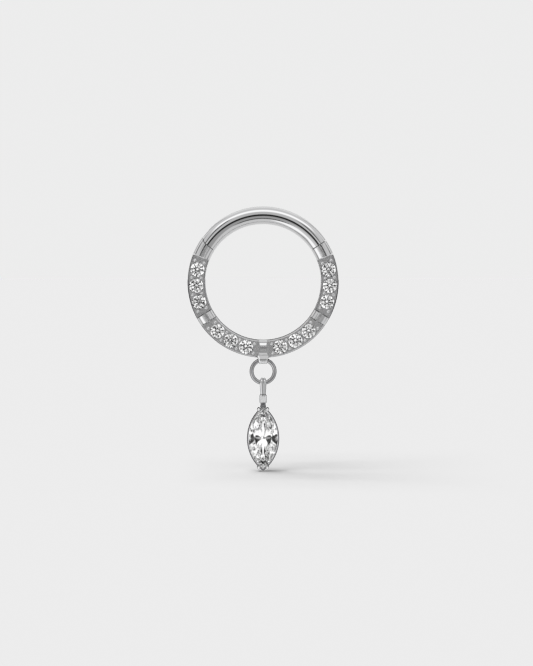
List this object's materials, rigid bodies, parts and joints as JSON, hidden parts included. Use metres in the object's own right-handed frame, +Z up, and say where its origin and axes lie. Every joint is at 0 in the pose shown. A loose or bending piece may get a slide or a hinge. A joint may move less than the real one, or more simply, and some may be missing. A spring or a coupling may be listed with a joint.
{
  "type": "septum ring",
  "caption": "Hinged septum ring of round wire, its front set with clear round stones, with a marquise stone drop hanging from a jump ring.",
  "frame": {"origin": "middle of the wire at the top of the hoop, where the ring sits in the piercing", "axes": "+Z up, the stones face the front towards -Y, +X to the right as seen from the front"},
  "size_m": [0.0104, 0.0014, 0.0182],
  "materials": {
    "frame_metal": "polished white metal",
    "segment_metal": "mirror polished white metal",
    "jump_metal": "polished white metal wire",
    "drop_metal": "polished white metal",
    "round_stone": "clear, faceted",
    "marquise_stone": "clear, faceted"
  },
  "bodies": {
    "frame": {"ring_frame": "frame_metal", "hinge_pin": "frame_metal", "stone_01": "round_stone", "stone_02": "round_stone", "stone_03": "round_stone", "stone_04": "round_stone", "stone_05": "round_stone", "stone_06": "round_stone", "stone_07": "round_stone", "stone_08": "round_stone", "stone_09": "round_stone", "stone_10": "round_stone", "stone_11": "round_stone", "stone_12": "round_stone"},
    "segment": {"hinged_segment": "segment_metal"},
    "jump_ring": {"jump_ring": "jump_metal"},
    "drop": {"drop_setting": "drop_metal", "marquise_stone": "marquise_stone"}
  },
  "joints": [
    {"name": "segment_hinge", "type": "hinge", "parent": "frame", "child": "segment", "pos_m": [-0.00363, 0, -0.00155], "axis": [0, -1, 0], "range_deg": [0, 70]},
    {"name": "jump_ring_swing", "type": "hinge", "parent": "frame", "child": "jump_ring", "pos_m": [0, 0, -0.00998], "axis": [1, 0, 0], "range_deg": [-75, 75]},
    {"name": "drop_swing", "type": "hinge", "parent": "jump_ring", "child": "drop", "pos_m": [0, 0, -0.01157], "axis": [1, 0, 0], "range_deg": [-75, 75]}
  ]
}
